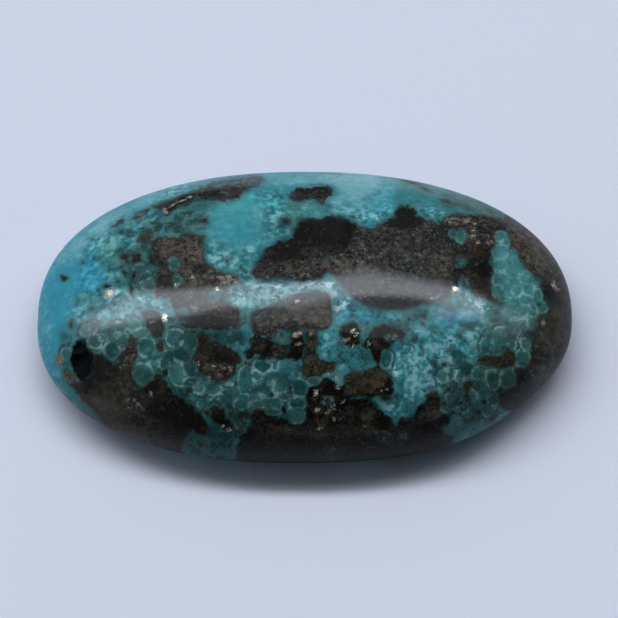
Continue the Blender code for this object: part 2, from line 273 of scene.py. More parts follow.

# Shades of the turquoise, over its plain blue: tone, then ellipses with strengths. The white and pale
# shades across the bright band, near y 283 to 325, are partly the stone's own whitish lines and partly
# painted highlight. The pale shades along the upper-left and left rims are partly painted reflection, and
# the deep and dull shades at the bottom, below y 425, are partly painted shade.
TURQUOISE_SHADES = (
    ("pale", (236, 254, 22, 12, .35), (262, 292, 28, 13, .6, -5), (305, 287, 18, 6, .75, -3),
     (243, 300, 13, 10, .6), (350, 205, 24, 11, .6), (356, 305, 26, 10, .15, 12), (330, 289, 9, 9, .8),
     (390, 316, 22, 8, .35), (363, 333, 5, 7, .35), (430, 305, 16, 5, .5, -8), (322, 338, 8, 6, .35, -30),
     (388, 411, 8, 2, .5, 30), (462, 290, 8, 5, .6), (500, 234, 6, 4, .3), (330, 318, 6, 8, .3)),
    ("white", (396, 368, 3, 12, .45, 5), (234, 305, 4, 3, .8, -30), (230, 290, 6, 3, .6, -35),
     (277, 298, 6, 2.6, .9, -5), (276, 287, 4, 2.2, .5), (257.6, 286, 3, 2.2, .6),
     (243, 296, 5, 2.4, .6, 25), (264, 307, 7, 1.8, .6, -20), (280, 300, 14, 2, .55, -20),
     (302, 289, 12, 2.2, .6, -25), (316, 283, 8, 2.6, .5, -10), (328, 284, 7, 4, .45),
     (325, 291, 8, 2, .4, 30)),
    ("green", (215, 398, 76, 38, 1, 3), (150, 352, 52, 36, 1), (482, 392, 68, 40, 1, -8),
     (512, 330, 40, 40, 1), (95, 335, 26, 18, .8), (240, 440, 70, 22, .8), (207, 208, 22, 7, .5, -10),
     (148, 285, 9, 11, .6), (245, 318, 6, 12, .7), (316, 208, 24, 8, .55), (352, 358, 18, 8, .6),
     (512, 270, 18, 24, 1, -28)),
    ("dull", (480, 424, 52, 22, .75, -14), (215, 402, 60, 26, .5), (150, 350, 40, 28, .35),
     (482, 390, 62, 34, .4), (367, 363, 8, 6, .5), (338, 372, 6, 11, .55, -15), (330, 379, 4, 5, .6),
     (195, 440, 22, 18, .75), (104, 424, 18, 6, .9, 30), (175, 265, 8, 9, .9), (177, 281, 8, 8, .9),
     (216, 296, 9, 7, .6), (284, 339, 10, 7, .9)),
    ("deep", (238, 337, 11, 8, .5), (339, 307, 3.4, 7.5, .95, 8), (358, 307.5, 10, 3.4, .95, 12),
     (345, 350, 14, 8, .35), (342, 345, 6, 4, .6, 20), (354, 356, 8, 7, .4), (340, 358, 3, 3, .4),
     (400, 383, 6, 6, .3), (497, 288, 5, 9, .5, 20), (461, 236, 8, 9, .7), (462, 262, 7, 7, .8),
     (450, 235, 7, 6, .5), (370, 355, 10, 8, .5)),
    ("pale", (150, 350, 18, 16, .5), (445, 355, 26, 16, .45, -10), (480, 342, 18, 10, .35),
     (248, 356, 7, 8, .35), (211, 332, 5, 3, .5), (246.5, 336, 2.4, 3.4, .8), (345, 302, 4, 7, .75, 30),
     (326, 352, 8, 7, .22), (340, 366, 6, 4, .3), (337, 384, 4, 7, .35, -20), (416, 352, 14, 10, .55),
     (410, 361, 14, 7, .65, -5), (485, 302, 9, 10, .75, 15), (515, 308, 22, 9, .45), (545, 305, 5, 5, .4),
     (150, 281, 8, 6, .5)),
    ("blue_tint", (100, 235, 90, 34, .75, -42), (300, 180, 130, 10, .4), (60, 310, 30, 70, .9, 5),
     (455, 312, 16, 12, .7), (478, 331, 14, 14, .35), (286, 366, 10, 7, .7)),
    ("pale", (140, 210, 75, 14, .38, -28), (80, 250, 40, 12, .3, -48), (52, 300, 10, 50, .22, 5),
     (110, 225, 22, 9, .3, -32), (270, 190, 14, 5, .3), (312, 181, 40, 7, .45, -2),
     (368, 186, 34, 13, .85, 4), (372, 206, 24, 14, .45), (468, 300, 14, 7, .6, 30)),
    ("deep", (62, 355, 5, 10, .5), (434, 344, 6, 5, .75, 10), (428, 371, 10, 7, .8, -15),
     (406, 373, 5, 4, .7), (414, 366, 4, 3, .45), (474, 345, 5, 5, .6), (466, 356, 10, 9, .35)),
    ("green", (130, 245, 32, 20, .85, -25), (160, 228, 22, 9, .8, -10), (110, 262, 14, 14, .4),
     (125, 282, 14, 8, .5), (520, 340, 32, 26, .95), (490, 380, 32, 20, .9), (175, 350, 30, 30, .8),
     (215, 392, 46, 22, .75, 5)),
    ("deep", (108, 265, 8, 7, .55), (116, 232, 5, 5, .5), (128, 230, 7, 4, .3), (190, 212, 20, 5, .35, -15),
     (140, 250, 18, 8, .25), (228, 336, 22, 10, .8)),
    ("blue_tint", (65, 290, 22, 36, .9, 8), (88, 275, 16, 20, .6), (385, 200, 16, 16, .5),
     (470, 315, 16, 10, .4), (212, 435, 16, 18, .35)),
    ("pale", (46, 330, 7, 40, .18, 5), (130, 235, 10, 7, .35), (420, 386, 14, 6, .5, -35),
     (410, 390, 10, 12, .45), (474.5, 354, 3.4, 2.6, .8), (72, 256, 16, 10, .35, -40),
     (140, 235, 14, 7, .4, -30)),
    ("deep", (66, 340, 7, 8, .55), (60, 330, 5, 8, .2), (404, 404, 14, 8, .35), (418, 395, 4, 8, .4),
     (215, 440, 24, 16, .45), (225, 448, 20, 8, .5), (190, 430, 16, 12, .6)),
    ("dull", (395, 178, 24, 5, .3, 5), (404, 345, 10, 4, .6), (455, 385, 22, 14, .5),
     (215, 392, 42, 18, .3, 5), (90, 412, 26, 8, .6, 42), (64, 385, 8, 14, .25, -28)),
    ("green", (90, 300, 24, 9, .45), (188, 222, 26, 12, .9, -10), (440, 200, 44, 17, .85, 18),
     (416, 364, 26, 14, .45), (492, 342, 22, 14, .8), (480, 405, 30, 14, .8), (276, 392, 42, 16, .5)),
    ("pale", (100, 315, 34, 9, .35), (135, 305, 36, 12, .45, -3), (415, 330, 9, 12, .45),
     (392, 402, 12, 8, .35, 20), (397, 411, 8, 6, .45), (410, 352, 20, 8, .25), (227, 383, 5, 4, .3),
     (232, 388, 4, 4.5, .7), (233, 380, 2, 4, .6), (265, 388, 8, 7, .25), (438, 356, 12, 14, .5),
     (430, 386, 12, 20, .4), (438, 378, 9, 10, .4), (410, 372, 10, 7, .3), (490, 341, 7, 6, .5),
     (430, 385, 8, 7, .5)),
    ("white", (116, 306, 22, 3, .12), (140, 299, 16, 3, .25, 5), (346, 297, 6, 2.2, .5, 30),
     (470, 303, 14, 4, .35, 10), (345, 303, 2.4, 5, .4, 25), (118, 292, 3, 6, .25, 20),
     (484, 297, 7, 5, .2, 20), (332, 309, 8, 5, .5), (490, 341, 7, 6, .3)),
    ("deep", (408, 408, 8, 6, .4), (196, 405, 12, 8, .35), (224, 399, 8, 4.6, .8, 10),
     (240, 404, 8, 5.4, .75), (210, 386, 9, 7, .4), (450, 386, 8, 6, .5), (410, 386, 7, 6, .4),
     (178, 398, 22, 6, .9, 40)),
    ("blue_tint", (418, 200, 22, 9, .45, 15), (110, 330, 22, 10, .5), (440, 318, 18, 14, .7),
     (292, 410, 22, 14, .5), (275, 368, 26, 12, .3)),
    ("dull", (188, 224, 24, 9, .6, -10), (398, 419, 8, 4, .8), (480, 405, 30, 14, .5),
     (316, 384, 10, 6, .8, -15), (306, 376, 8, 6, .5), (236, 420, 16, 12, .85), (300, 398, 8, 5, .5)),
    ("bright", (512, 270, 22, 32, .85, -28), (512, 300, 20, 12, .5), (454, 357, 14, 14, .6),
     (524, 312, 16, 10, .4), (372, 204, 26, 10, .4)),
    ("deep", (296, 415, 10, 7, .15), (246, 377, 8, 18, .75), (272, 411, 8, 5, .6, 10),
     (215, 430, 18, 8, .8), (512, 250, 6, 6, .4), (230, 430, 12, 10, .5)),
    ("pale", (233, 397, 7, 4, .3), (197, 395, 9, 2.4, .55), (213, 403, 5, 4.4, .45),
     (272, 381, 18, 3.4, .3), (468, 332, 22, 8, .35), (508, 272, 8, 12, .3), (190, 236, 9, 7, .3)),
    ("green", (470, 206, 34, 11, .95, 22), (421, 317, 20, 14, .6), (475, 425, 34, 14, .9, -15),
     (145, 350, 26, 26, .8), (105, 340, 24, 18, .6)),
    ("deep", (427, 196, 8, 4, .35), (468, 408, 8, 7, .4), (94, 339, 9, 6, .7), (171, 341, 7, 6, .5),
     (166, 372, 8, 7, .4), (90, 340, 10, 8, .4), (170, 340, 10, 8, .4)),
    ("dull", (474, 208, 34, 11, .8, 22), (451, 203, 12, 8, .7, 10), (500, 212, 14, 6, .7, 30),
     (419, 318, 16, 12, .25), (478, 424, 30, 12, .35, -15)),
    ("pale", (455, 191, 26, 4, .3, 18), (150, 355, 10, 8, .4), (128, 354, 6, 6, .5),
     (510, 412, 16, 6, .5, -30), (440, 214, 20, 6, .3, 20), (466, 216, 14, 6, .4, 25),
     (440, 298, 14, 4, .4, -20), (491, 430, 10, 6, .4, -20), (511, 415, 9, 6, .3, -25)),
    ("blue_tint", (236, 216, 24, 20, .7, -15), (246, 388, 8, 10, .4), (370, 314, 28, 10, .8)),
    ("bright", (236, 216, 26, 20, .45, -15), (440, 345, 24, 24, .4)),
    ("pale", (256, 395, 7, 4, .6, -20), (450, 341, 8, 6, .5), (450, 356, 9, 7, .6)),
    ("white", (128, 319, 12, 2.4, .4), (490, 307, 11, 4, .45), (450, 355, 8, 6, .3)),
    ("blue_tint", (228, 232, 16, 18, .5), (440, 322, 30, 14, .5)),
    ("green", (485, 436, 22, 6, .6, -22), (488, 299, 5, 6, .8)),
    ("pale", (450, 355, 12, 10, .4), (496, 296, 10, 8, .5), (510, 313, 14, 7, .5), (492, 296, 8, 7, .7)),
    ("bright", (226, 232, 16, 18, .4), (510, 309, 16, 8, .8)),
    ("pale", (250, 208, 28, 10, .22, -15), (246, 240, 14, 12, .18), (510, 326, 14, 10, .3)),
    ("green", (225, 256, 16, 13, .5), (285, 211, 16, 8, .9, -10)),
    ("blue_tint", (262, 222, 18, 12, .5, -10),),
    ("pale", (220, 257, 14, 9, .4), (270, 216, 12, 9, .35), (285, 227, 12, 8, .25, -20)),
    ("green", (240, 262, 12, 10, .5), (213, 242, 8, 12, .4)),
    ("pale", (246, 277, 9, 10, .55), (218, 262, 14, 9, .4), (216, 242, 10, 7, .4)),
    ("bright", (252, 214, 30, 26, .5),),
    ("blue_tint", (240, 228, 20, 16, .4),),
    ("deep", (252, 386, 8, 7, .4),),
    ("dull", (178, 228, 34, 8, .5, -12),),
    ("bright", (130, 238, 20, 10, .4, -30),),
    ("pale", (262, 222, 14, 12, .3),),
)

# Rounded lumps of turquoise with pale rims: ellipses
LUMPS = (
    (86, 331, 5, 6, 20), (93, 328, 4, 5), (95, 341, 7, 7), (103, 337, 4.5, 3.4), (117, 334, 3.6, 4),
    (112, 350.5, 7.6, 9), (123, 341, 5.4, 8.4), (67, 354, 5, 7), (141, 333, 8, 5.4), (146.5, 347, 9, 9.5),
    (143, 374, 10.5, 11, -20), (155, 364, 5.6, 5.6), (164, 363, 6, 6.4), (175, 338, 9, 9),
    (190, 342, 9, 8.4), (181, 354, 9, 7), (177, 374, 8, 13, -20), (191, 368, 8, 8), (192, 382, 9, 5),
    (134, 325, 7, 6), (119, 328, 7, 6), (213, 389, 8, 6), (199, 388, 6, 5), (205, 379, 6, 4),
    (224, 399, 7, 5.4), (205, 404, 7.4, 6), (216, 402, 5, 5), (241, 404, 8, 6), (246, 380, 8, 14),
    (233, 395, 6.4, 5.4), (263, 388, 8, 8), (281, 386, 8.6, 8), (283, 396, 6, 5), (300, 388, 8.4, 9.4),
    (276, 404, 6.4, 6), (273, 411, 8, 4.6), (298, 403, 9, 6.4), (296, 415, 10, 8), (242, 423, 7, 6),
    (262, 366, 9, 7), (287, 367, 9.4, 8), (274, 376, 9.6, 5.4), (257, 376, 5.4, 5.4), (267, 383, 8, 4.4),
    (256, 396, 7, 5), (264, 402, 7, 5), (386, 359, 6, 10, 10), (313, 381, 7, 5), (443, 376, 6, 7),
    (454, 384.5, 6, 5.4), (461, 377, 6, 7), (451, 374, 5, 6), (466, 374, 5, 7), (479, 373, 6.6, 7.4),
    (493, 380, 7, 10), (508.5, 378, 8, 10), (483, 390, 6, 10, 8), (459, 390, 5, 5), (472, 396, 5, 6),
    (476, 405, 6, 7), (463, 407, 6, 6), (493, 400, 7, 6), (488, 410, 6, 6), (452, 397, 6, 5),
    (447, 408, 5, 4), (455, 404, 6, 6), (507, 292, 7, 6), (517, 289, 6, 7), (529, 289, 7, 6),
    (537, 294, 5, 8, -15), (525, 300, 7, 6), (512, 303, 8, 5), (543, 308, 5.4, 5), (533, 311, 5, 7),
    (532, 323, 5.8, 6.4), (513, 329, 8, 10), (500.5, 337, 8.4, 10), (496, 351, 8, 5.6), (486, 346, 5.6, 9),
    (512, 345, 4, 5.4), (526, 344, 5, 6.6), (522.5, 358, 7.4, 9.4), (521, 313, 6, 8), (524, 324, 4, 7),
    (508, 314, 7, 6), (489.5, 334, 3, 3), (501, 252, 9, 7, 10), (512, 256, 7, 7, 30), (500, 265, 7, 7),
    (514, 270, 9, 8), (526, 278, 8, 7, 30), (501, 279, 8, 8), (514, 283, 8, 6), (536, 282, 5, 5),
    (497, 290, 5, 8, 20), (506, 243, 4, 5), (500, 236, 6, 5), (461, 236, 5, 7), (453, 234, 5, 5),
    (147, 284, 7, 6), (140, 270, 7, 6), (146, 276, 6, 5), (174, 264, 6, 7), (177, 281, 5, 6),
    (213, 297, 6, 5), (218, 294, 6, 6),
)

# Flecks of pyrite, painted with their glints: ellipses, with each fleck's painted brightness as its strength
GLINTING_FLECKS = (
    (109.5, 293, 5, 3.4, 1, -35), (165, 317.5, 2.3, 3.6, 1, -10), (455.2, 288.5, 2.8, 2, 1, 15),
    (176, 284.5, 1.9, 1.5, .7), (192, 277.2, 1.9, 1.7, .55), (193.5, 280, 1.2, 1.5, .2),
    (316.3, 392.5, 2.2, 2.4, .75), (315.4, 397.5, 1.2, 2.4, .4), (229.3, 430, 2, 2, .4),
    (223, 426, 1.6, 1.3, .35), (353.2, 331, 2, 1.8, .9), (356.8, 334.5, 1.4, 1.7, .7),
    (344.5, 340, 2.6, 1, .6, 30), (353.2, 346, 1.6, 1.4, .8), (368.8, 343.5, 1.5, 1.7, .7),
    (294.2, 335, 1.6, 1.4, .6), (298, 332.5, 1.6, 1.4, .6), (299.5, 343, 3.6, 1, .5),
    (328, 374, 2.4, 1.9, .55, -20), (336, 378, 2.2, 1.4, .6, 10), (337.2, 386, 1.3, 3.4, .45, -20),
    (343.5, 402, 1.6, 1.5, .35), (366, 425, 1.6, 1.5, .4), (319.4, 429.5, 2.4, 1.3, .5),
    (214, 366.5, 1.8, 1.4, .45), (199, 363.2, 1.6, 1.6, .35), (554, 286, 3.2, 1.4, .6, 45),
    (327, 412, 1.6, 1.4, .4), (333, 405, 1.3, 3, .4, -25), (129.5, 403.5, 1.4, 1.3, .35),
    (382, 390, 1.4, 1.8, .4), (387.5, 389, 1.2, 1.4, .3), (478, 243, 1, 1.4, .3), (217, 289, 1.2, 1.8, .3),
    (298, 301.5, 2, 1.4, .3), (304, 261, 1.2, 1.2, .25), (283, 270, 1.2, 1.2, .25),
    (279, 328.5, 1.4, 1, .4), (462, 330, 1.2, 2, .2),
)

# Pieces of turquoise let into the matrix: ellipses
INCLUSIONS = (
    (175, 265, 5, 6), (177, 281, 4, 5), (214, 296, 5, 4, 10), (218, 293, 4, 4), (282, 337, 7, 7),
    (183, 312, 5, 4), (461, 236, 5, 7), (145, 233, 2, 2), (462, 262, 5, 5), (246, 318, 3, 6),
)

# Where the whole surface is darker: painted shade on the lower flank and bottom rim, which face away from
# the lamps, and darker tone elsewhere. Ellipses with strengths, as in all the zones below
SHADE_AND_DARK_TONE_ZONES = (
    (196, 207, 20, 8, .8, -10), (163, 221, 18, 8, .5, -15), (290, 228, 22, 14, .7, -20),
    (350, 228, 10, 12, .7), (452, 228, 14, 12, .5, 20), (140, 258, 24, 14, .75, -20),
    (165, 272, 20, 14, .5), (472, 262, 16, 16, .8), (150, 282, 40, 10, .45), (492, 250, 8, 12, .5),
    (410, 301, 50, 6, .4, -3), (390, 312, 50, 10, .4), (85, 328, 16, 16, .6), (195, 330, 24, 12, .85),
    (210, 345, 28, 20, .4), (250, 350, 16, 16, .4), (290, 348, 24, 14, .55), (372, 330, 30, 10, .5),
    (372, 354, 12, 10, .8), (408, 342, 12, 8, .5), (522, 330, 18, 16, .3), (84, 366, 18, 18, .95),
    (110, 378, 20, 16, .55), (84, 385, 16, 12, .6, 30), (150, 430, 40, 10, .5, 14), (300, 460, 130, 9, .8),
    (540, 330, 14, 30, .3), (400, 455, 70, 8, .7, -6), (152, 388, 10, 8, .85), (390, 398, 14, 8, .8),
    (448, 402, 14, 8, .6), (480, 372, 20, 8, .4), (512, 390, 24, 14, .85), (280, 402, 20, 8, .4),
    (297, 416, 28, 8, .7), (212, 430, 38, 14, .8), (450, 430, 12, 8, .5), (180, 392, 14, 8, .5, 30),
    (212, 386, 9, 6, .6), (410, 198, 16, 14, .4), (210, 197, 14, 8, .6, -15), (480, 265, 14, 18, .4),
    (70, 332, 14, 10, .5), (105, 326, 14, 8, .4), (300, 262, 30, 10, .3), (272, 414, 24, 7, .5),
    (345, 358, 24, 12, .35), (138, 376, 14, 10, .4, 30), (492, 278, 8, 12, .4), (125, 306, 26, 8, .3),
    (312, 384, 9, 8, .5), (392, 348, 8, 10, .35), (410, 216, 14, 6, .5, 20), (190, 358, 20, 22, .5, 8),
    (120, 355, 18, 20, .5, 8), (215, 410, 52, 14, .45, 6), (278, 400, 46, 20, .35),
    (484, 398, 54, 26, .5, -12), (515, 352, 26, 28, .3), (200, 442, 44, 26, .9),
    (470, 426, 36, 16, .35, -12), (240, 424, 22, 16, .8), (110, 345, 26, 18, .3), (225, 338, 24, 9, .8),
    (86, 408, 26, 10, .25, 42), (66, 345, 8, 14, .25), (100, 420, 24, 8, .5, 30),
    (130, 245, 30, 18, .1, -25), (188, 226, 24, 9, .5, -8), (435, 320, 60, 28, .2),
    (480, 425, 40, 16, .1, -12), (262, 290, 40, 14, .3), (128, 307, 30, 8, .3), (400, 282, 60, 10, .15),
    (470, 206, 40, 12, .25, 20), (395, 410, 26, 14, .25), (158, 376, 22, 12, .35),
    (69, 378, 8, 14, .4, -20), (450, 386, 9, 7, .5), (370, 400, 9, 7, .5), (340, 341, 16, 7, .3),
    (552, 303, 10, 12, .35), (181, 398, 20, 6, .6, 42),
)

# Where specks of matrix pepper the turquoise
PEPPER_ZONES = (
    (140, 256, 26, 18, .75, -20), (135, 282, 18, 16, .65), (110, 233, 20, 8, .35, -30),
    (185, 222, 30, 7, .45, -10), (465, 392, 34, 20, .8, -10), (245, 405, 34, 12, .75, 5),
    (525, 318, 18, 14, .2), (455, 205, 24, 10, .25, 15), (225, 250, 10, 14, .35), (128, 340, 14, 14, .5),
    (155, 365, 16, 10, .45), (205, 385, 24, 10, .55), (415, 315, 14, 10, .35), (470, 290, 14, 10, .3),
    (500, 310, 14, 12, .25), (235, 425, 16, 10, .6), (480, 362, 30, 10, .5), (300, 395, 14, 10, .45),
    (330, 365, 16, 12, .3), (282, 220, 12, 6, .4),
)

# Where the matrix is made of separate grains
GRAINY_ZONES = (
    (197, 290, 52, 32, .95), (218, 356, 26, 28, .9), (480, 248, 30, 44, .9), (275, 347, 30, 16, .6),
    (320, 405, 34, 26, .9), (140, 405, 26, 20, .8), (350, 335, 20, 16, .9), (385, 340, 26, 20, .8),
    (298, 345, 14, 20, .9), (290, 250, 44, 26, .45), (400, 262, 60, 40, .12), (540, 300, 30, 60, .35),
    (540, 350, 34, 34, .6), (125, 350, 16, 22, .9), (370, 385, 32, 18, .5), (66, 368, 14, 16, .8),
    (520, 238, 20, 22, .3), (433, 402, 14, 14, .5), (252, 418, 30, 12, .6), (300, 435, 90, 18, .25),
)

# Where the surface is smooth, with little mottling
CALM_ZONES = (
    (120, 205, 80, 20, 1, -32), (60, 270, 26, 70, .9, 12), (290, 180, 150, 12, 1),
    (236, 222, 36, 34, .95, -20), (350, 195, 60, 20, .6), (430, 195, 70, 16, .7, 15),
    (366, 190, 44, 20, .9), (52, 330, 16, 50, .8), (120, 310, 60, 14, .3, -3), (556, 330, 20, 62, .9),
    (96, 398, 44, 20, .8, 36), (540, 385, 30, 16, .7, -45), (366, 382, 18, 11, .8), (314, 313, 30, 14, .5),
    (512, 272, 14, 22, .5, -28),
)

# Where the turquoise is heavily stained with dark green
ROUGH_ZONES = (
    (150, 250, 46, 44, .85), (190, 222, 40, 16, .7, -10), (200, 325, 44, 18, .8), (170, 365, 50, 40, .75),
    (240, 390, 80, 44, .8), (300, 350, 40, 30, .5), (360, 350, 40, 50, .35), (440, 340, 60, 44, .4),
    (480, 385, 64, 44, .85), (520, 330, 24, 40, .7), (512, 280, 24, 30, .5), (460, 215, 36, 22, .7, 10),
    (215, 435, 44, 26, .8), (100, 330, 30, 18, .6), (460, 300, 40, 16, .35), (120, 225, 24, 14, .4, -30),
)

# The natural hollow, as it is seen. The material paints it near black and makes it metallic, so that it
# hardly reflects: painted shade inside the hollow
PIT_ZONE = (
    (81, 361, 10.5, 20, 1, -8),
)

ZONES = {
    "dim": SHADE_AND_DARK_TONE_ZONES, "pepper": PEPPER_ZONES, "pit": PIT_ZONE,
    "grainy": GRAINY_ZONES, "calm": CALM_ZONES, "rough": ROUGH_ZONES,
}


def unit_dome():
    """A grid of points spread over the unit sphere's upper half, with its quads."""
    a, b = np.meshgrid(np.linspace(-1, 1, GRID_ALONG + 1), np.linspace(-1, 1, GRID_ACROSS + 1))
    a, b = a.ravel(), b.ravel()
    steep = np.abs(a) > np.abs(b)
    reach = np.where(steep, a, b)
    safe = np.where(np.abs(reach) < 1e-12, 1e-12, reach)
    turn = np.where(steep, (math.pi / 4) * (b / safe), math.pi / 2 - (math.pi / 4) * (a / safe))
    polar = reach * (math.pi / 2)
    points = np.stack([np.sin(polar) * np.cos(turn), np.sin(polar) * np.sin(turn), np.cos(polar)], 1)
    row = GRID_ALONG + 1
    first = (np.arange(GRID_ACROSS)[:, None] * row + np.arange(GRID_ALONG)[None, :]).ravel()
    quads = np.stack([first, first + 1, first + row + 1, first + row], 1)
    return points, quads


def rim_of_grid():
    """The grid's border points, in order, anticlockwise."""
    row, last = GRID_ALONG + 1, GRID_ACROSS * (GRID_ALONG + 1)
    low = np.arange(GRID_ALONG)
    right = GRID_ALONG + row * np.arange(GRID_ACROSS)
    top = last + GRID_ALONG - np.arange(GRID_ALONG)
    left = last - row * np.arange(GRID_ACROSS)
    return np.concatenate([low, right, top, left])


def on_stone(unit):
    """The stone's surface points for points of the unit sphere."""
    x, y, z = unit.T
    reach = np.maximum(np.hypot(x, y), 1e-9)
    share = np.abs(x / reach) ** OUTLINE_POWER + np.abs(y / reach) ** OUTLINE_POWER
    bulge = share ** (-1 / OUTLINE_POWER)
    wide = np.where(y < 0, HALF_WIDTH * (1 + FRONT_FULLNESS), HALF_WIDTH)
    full = 1 + FRONT_LEFT_FULLNESS * 2 * np.maximum(-x, 0) * np.maximum(-y, 0)
    across_x, across_y = HALF_LENGTH * bulge * full * x, wide * bulge * full * y
    facing = (math.cos(FLAT_ANGLE), math.sin(FLAT_ANGLE))
    level = facing[0] * across_x + facing[1] * across_y
    pressed = FLAT_REACH - FLAT_SOFTNESS * np.log1p(np.exp((FLAT_REACH - level) / FLAT_SOFTNESS))
    across_x += facing[0] * (pressed - level)
    across_y += facing[1] * (pressed - level)
    under_reach = GIRDLE_HEIGHT / math.sqrt(1 - BACK_SHARE**2)
    height = np.where(z > 0, DOME_HEIGHT, under_reach) * z
    return np.stack([across_x, across_y + MIDDLE_Y, GIRDLE_HEIGHT + height], 1)


def photo_place(points):
    """The photograph's pixel over each point, and the direction from the point to the camera."""
    towards, tilt_up = np.array(TO_CAMERA), np.array(CAMERA_UP)
    from_middle = points - np.array([0, 0, GIRDLE_HEIGHT])
    shrink = CAMERA_DISTANCE / (CAMERA_DISTANCE - from_middle @ towards)
    px = MIDDLE_PX[0] + PX_PER_MM / MM * from_middle[:, 0] * shrink
    py = MIDDLE_PX[1] - PX_PER_MM / MM * (from_middle @ tilt_up) * shrink
    sight = towards * CAMERA_DISTANCE - from_middle
    return px, py, sight / np.linalg.norm(sight, axis=1)[:, None]


def smooth(value, low, high):
    """Goes smoothly from 0 to 1 as value goes from low to high."""
    t = np.clip((value - low) / (high - low), 0, 1)
    return t * t * (3 - 2 * t)


def ellipse_share(px, py, middle_x, middle_y, half_x, half_y, turn=0):
    """How far points lie inside an ellipse: 1 in the middle, 0 on the border, less outside."""
    lean = math.radians(turn)
    along = (px - middle_x) * math.cos(lean) + (py - middle_y) * math.sin(lean)
    across = (py - middle_y) * math.cos(lean) - (px - middle_x) * math.sin(lean)
    return 1.0 - np.hypot(along / half_x, across / half_y)


def ellipse_depth(px, py, spot):
    """How many pixels points lie inside an ellipse, roughly."""
    return ellipse_share(px, py, *spot) * math.sqrt(spot[2] * spot[3])


def strong_spots(px, py, spots):
    """For each ellipse that has a strength: how far points lie inside it, and the strength."""
    for middle_x, middle_y, half_x, half_y, strength, *turn in spots:
        yield ellipse_share(px, py, middle_x, middle_y, half_x, half_y, *turn), strength


def outline_depth(px, py, corners):
    """How many pixels points lie inside a closed outline; outside is negative, down to -FAR_PX."""
    low, high = corners.min(0) - FAR_PX, corners.max(0) + FAR_PX
    near = np.flatnonzero((px > low[0]) & (px < high[0]) & (py > low[1]) & (py < high[1]))
    x, y = px[near], py[near]
    square = np.full(len(near), FAR_PX**2)
    inside = np.zeros(len(near), bool)
    for (ax, ay), (bx, by) in zip(corners, np.roll(corners, -1, 0)):
        dx, dy = bx - ax, by - ay
        t = np.clip(((x - ax) * dx + (y - ay) * dy) / (dx * dx + dy * dy), 0, 1)
        square = np.minimum(square, (x - ax - t * dx) ** 2 + (y - ay - t * dy) ** 2)
        if dy:
            inside ^= ((ay > y) != (by > y)) & (x < ax + (y - ay) * dx / dy)
    depth = np.full(len(px), -FAR_PX)
    depth[near] = np.where(inside, 1, -1) * np.sqrt(square)
    return depth


def paint_over(tones, tone, cover):
    """Paints one tone over the others, as far as cover says."""
    for name in tones:
        tones[name] = tones[name] * (1 - cover) + (cover if name == tone else 0)


def lay_shades(tones, px, py, shades, fade):
    """Paints each shade over the tones below it, softly at its border."""
    for tone, *spots in shades:
        for share, strength in strong_spots(px, py, spots):
            paint_over(tones, tone, strength * smooth(share, *fade))
    return tones


def matrix_fields(px, py):
    """Depth inside the dark matrix, in pixels, and the share of each of its tones."""
    depth = np.full(len(px), -FAR_PX)
    tones = {name: np.zeros(len(px)) for name in MATRIX_TONES}
    for tone, *corners in MATRIX:
        here = outline_depth(px, py, np.reshape(corners, (-1, 2)))
        depth = np.maximum(depth, here)
        paint_over(tones, tone, smooth(here, *OUTLINE_FADE))
    for tone, *spots in SPOTS:
        for spot in spots:
            depth = np.maximum(depth, ellipse_depth(px, py, spot))
            paint_over(tones, tone, smooth(ellipse_share(px, py, *spot), *SPOT_FADE))
    for spot in INCLUSIONS:
        depth = np.minimum(depth, -ellipse_depth(px, py, spot))
    return depth, lay_shades(tones, px, py, MATRIX_SHADES, MATRIX_FADE)


def lump_fields(px, py):
    """Depth inside the nearest lump and the next nearest, in pixels, and a number that differs by lump."""
    best, after = np.full(len(px), -FAR_PX), np.full(len(px), -FAR_PX)
    which = np.zeros(len(px))
    for count, spot in enumerate(LUMPS):
        depth = ellipse_depth(px, py, spot)
        nearer = depth > best
        after = np.where(nearer, best, np.maximum(after, depth))
        best = np.where(nearer, depth, best)
        which = np.where(nearer, (count * GOLDEN_SHARE) % 1.0, which)
    return best, after, which


def soft_zones(px, py, zones):
    """How much of each zone a point has, softly; zones that overlap add up like veils."""
    clear = np.ones(len(px))
    for share, strength in strong_spots(px, py, zones):
        clear *= 1 - strength * smooth(share, *ZONE_FADE)
    return 1 - clear


def fleck_glint_field(px, py):
    """How bright a fleck of pyrite, with its painted glint, each point has, fading over the fleck's border.
    """
    value = np.zeros(len(px))
    for share, bright in strong_spots(px, py, GLINTING_FLECKS):
        value = np.maximum(value, bright * np.clip(0.5 + share * 0.9, 0, 1))
    return value


def mesh_vectors(mesh, name):
    """One vector per point of the mesh, as rows."""
    values = np.empty(len(mesh.vertices) * 3)
    mesh.vertices.foreach_get(name, values)
    return values.reshape(-1, 3)


def paint_fields(mesh):
    """Gives the mesh's points the traced pattern's smooth fields, as attributes the material reads."""
    px, py, sight = photo_place(mesh_vectors(mesh, "co"))
    facing = (mesh_vectors(mesh, "normal") * sight).sum(1)
    fields = {"front": smooth(facing, *FRONT_FADE), "fleck": fleck_glint_field(px, py)}
    fields["matrix"], tones = matrix_fields(px, py)
    fields["lump"], fields["next_lump"], fields["lump_number"] = lump_fields(px, py)
    for name, zones in ZONES.items():
        fields[name] = soft_zones(px, py, zones)
    fields.update(tones)
    tones = {name: np.zeros(len(px)) for name in TURQUOISE_TONES}
    fields.update(lay_shades(tones, px, py, TURQUOISE_SHADES, TURQUOISE_FADE))
    for name, values in fields.items():
        layer = mesh.attributes.new(name, "FLOAT", "POINT")
        layer.data.foreach_set("value", np.ascontiguousarray(values, dtype=np.float32))


